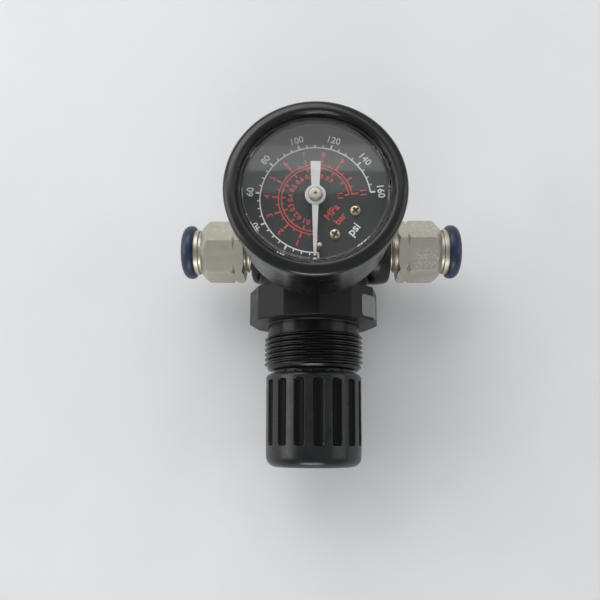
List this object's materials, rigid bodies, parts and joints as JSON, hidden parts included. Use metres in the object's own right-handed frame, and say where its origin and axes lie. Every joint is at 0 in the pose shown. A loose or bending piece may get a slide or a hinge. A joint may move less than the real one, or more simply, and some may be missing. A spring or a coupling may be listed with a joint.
{
  "type": "air pressure regulator",
  "caption": "Miniature relieving air pressure regulator lying on its back, with panel-thread bonnet, push-to-lock knob, back-connected pressure gauge and push-in tube fittings.",
  "frame": {"origin": "On the table under the centre of the part's bounding box.", "axes": "+X runs with the flow from the inlet fitting to the outlet fitting, -Y leaves the knob along the valve axis, +Z leaves the gauge dial. The part lies on its back."},
  "size_m": [0.0866, 0.0878, 0.0753],
  "materials": {
    "body_paint": "semi-gloss black paint on die-cast zinc",
    "bonnet_plastic": "satin moulded acetal",
    "knob_plastic": "semi-gloss moulded acetal",
    "plug_plastic": "satin moulded acetal",
    "rubber": "matt nitrile",
    "brass": "machined",
    "steel": "machined and plated",
    "plate_alloy": "pressed",
    "slip_plastic": "natural acetal",
    "label": "blank printed film",
    "nickel": "satin nickel plate on brass",
    "collet_blue": "satin moulded acetal",
    "gauge_black": "semi-gloss black",
    "dial_face": "matt black with printed scales",
    "pointer_white": "matt white",
    "lens_clear": "clear polished polycarbonate"
  },
  "bodies": {
    "housing": {"body": "body_paint", "rear_port_plug": "steel", "bottom_plug": "plug_plastic", "bottom_plug_oring": "rubber", "valve_seat": "brass", "valve_spring": "steel", "diaphragm": "rubber", "slip_ring": "slip_plastic", "bonnet": "bonnet_plastic", "spec_label": "label", "range_spring": "steel", "thrust_washer": "steel", "inlet_fitting": "nickel", "inlet_seal": "rubber", "inlet_grab_ring": "steel", "inlet_sleeve": "nickel", "outlet_fitting": "nickel", "outlet_seal": "rubber", "outlet_grab_ring": "steel", "outlet_sleeve": "nickel", "gauge_stem": "brass", "gauge_restrictor": "steel", "gauge_case": "gauge_black", "case_screws": "steel", "bourdon_tube": "brass", "movement_back_plate": "brass", "movement_pillars": "brass", "movement_front_plate": "brass", "hairspring": "brass", "dial": "dial_face", "dial_screws": "brass", "stop_pin": "steel", "lens": "lens_clear", "lens_gasket": "rubber", "bezel": "gauge_black"},
    "spindle": {"adjusting_screw": "steel", "screw_clip": "steel"},
    "knob_shell": {"knob": "knob_plastic"},
    "nut": {"spring_nut": "brass"},
    "diaphragm_unit": {"diaphragm_plate": "plate_alloy", "relief_seat": "brass"},
    "valve": {"poppet": "brass", "poppet_seal": "rubber"},
    "inlet_release": {"inlet_collet": "collet_blue"},
    "outlet_release": {"outlet_collet": "collet_blue"},
    "sector": {"sector_gear": "brass"},
    "link": {"link_bar": "steel", "bourdon_tip": "brass"},
    "needle": {"pinion_arbor": "steel", "pointer": "pointer_white", "pointer_cap": "steel"}
  },
  "joints": [
    {"name": "knob_turn", "type": "hinge", "parent": "housing", "child": "spindle", "pos_m": [-0.0022, -0.00172, 0.01965], "axis": [0, 1, 0], "range_deg": [0, 1801]},
    {"name": "knob_pull", "type": "slide", "parent": "spindle", "child": "knob_shell", "axis": [0, -1, 0], "range_m": [0, 0.0025]},
    {"name": "nut_travel", "type": "slide", "parent": "housing", "child": "nut", "axis": [0, 1, 0], "range_m": [0, 0.00625], "deforming": ["range_spring"]},
    {"name": "diaphragm_lift", "type": "slide", "parent": "housing", "child": "diaphragm_unit", "axis": [0, 1, 0], "range_m": [0, 0.0008], "stiffness_N_per_m": 1500, "deforming": ["diaphragm"]},
    {"name": "valve_lift", "type": "slide", "parent": "housing", "child": "valve", "axis": [0, 1, 0], "range_m": [0, 0.0009], "deforming": ["valve_spring"]},
    {"name": "inlet_release_push", "type": "slide", "parent": "housing", "child": "inlet_release", "axis": [1, 0, 0], "range_m": [0, 0.001], "stiffness_N_per_m": 1500},
    {"name": "outlet_release_push", "type": "slide", "parent": "housing", "child": "outlet_release", "axis": [-1, 0, 0], "range_m": [0, 0.001], "stiffness_N_per_m": 1500},
    {"name": "sector_turn", "type": "hinge", "parent": "housing", "child": "sector", "pos_m": [0.00692, 0.01479, 0.05965], "axis": [0, 0, 1], "range_deg": [0, 40.3], "stiffness_Nm_per_rad": 0.002, "deforming": ["bourdon_tube", "hairspring"]},
    {"name": "needle_turn", "type": "hinge", "parent": "housing", "child": "needle", "pos_m": [-0.0017, 0.02202, 0.05965], "axis": [0, 0, 1], "range_deg": [-262, 0]},
    {"name": "link_swing", "type": "hinge", "parent": "sector", "child": "link", "pos_m": [0.01068, 0.01343, 0.05915], "axis": [0, 0, 1], "range_deg": [-41, 0]}
  ],
  "couplings": [
    {"joint": "knob_turn", "follows": "nut_travel", "rad_per_m": 5026.5},
    {"joint": "valve_lift", "follows": "diaphragm_lift", "ratio": 1},
    {"joint": "needle_turn", "follows": "sector_turn", "ratio": -6.5},
    {"joint": "link_swing", "follows": "sector_turn", "ratio": -1}
  ]
}
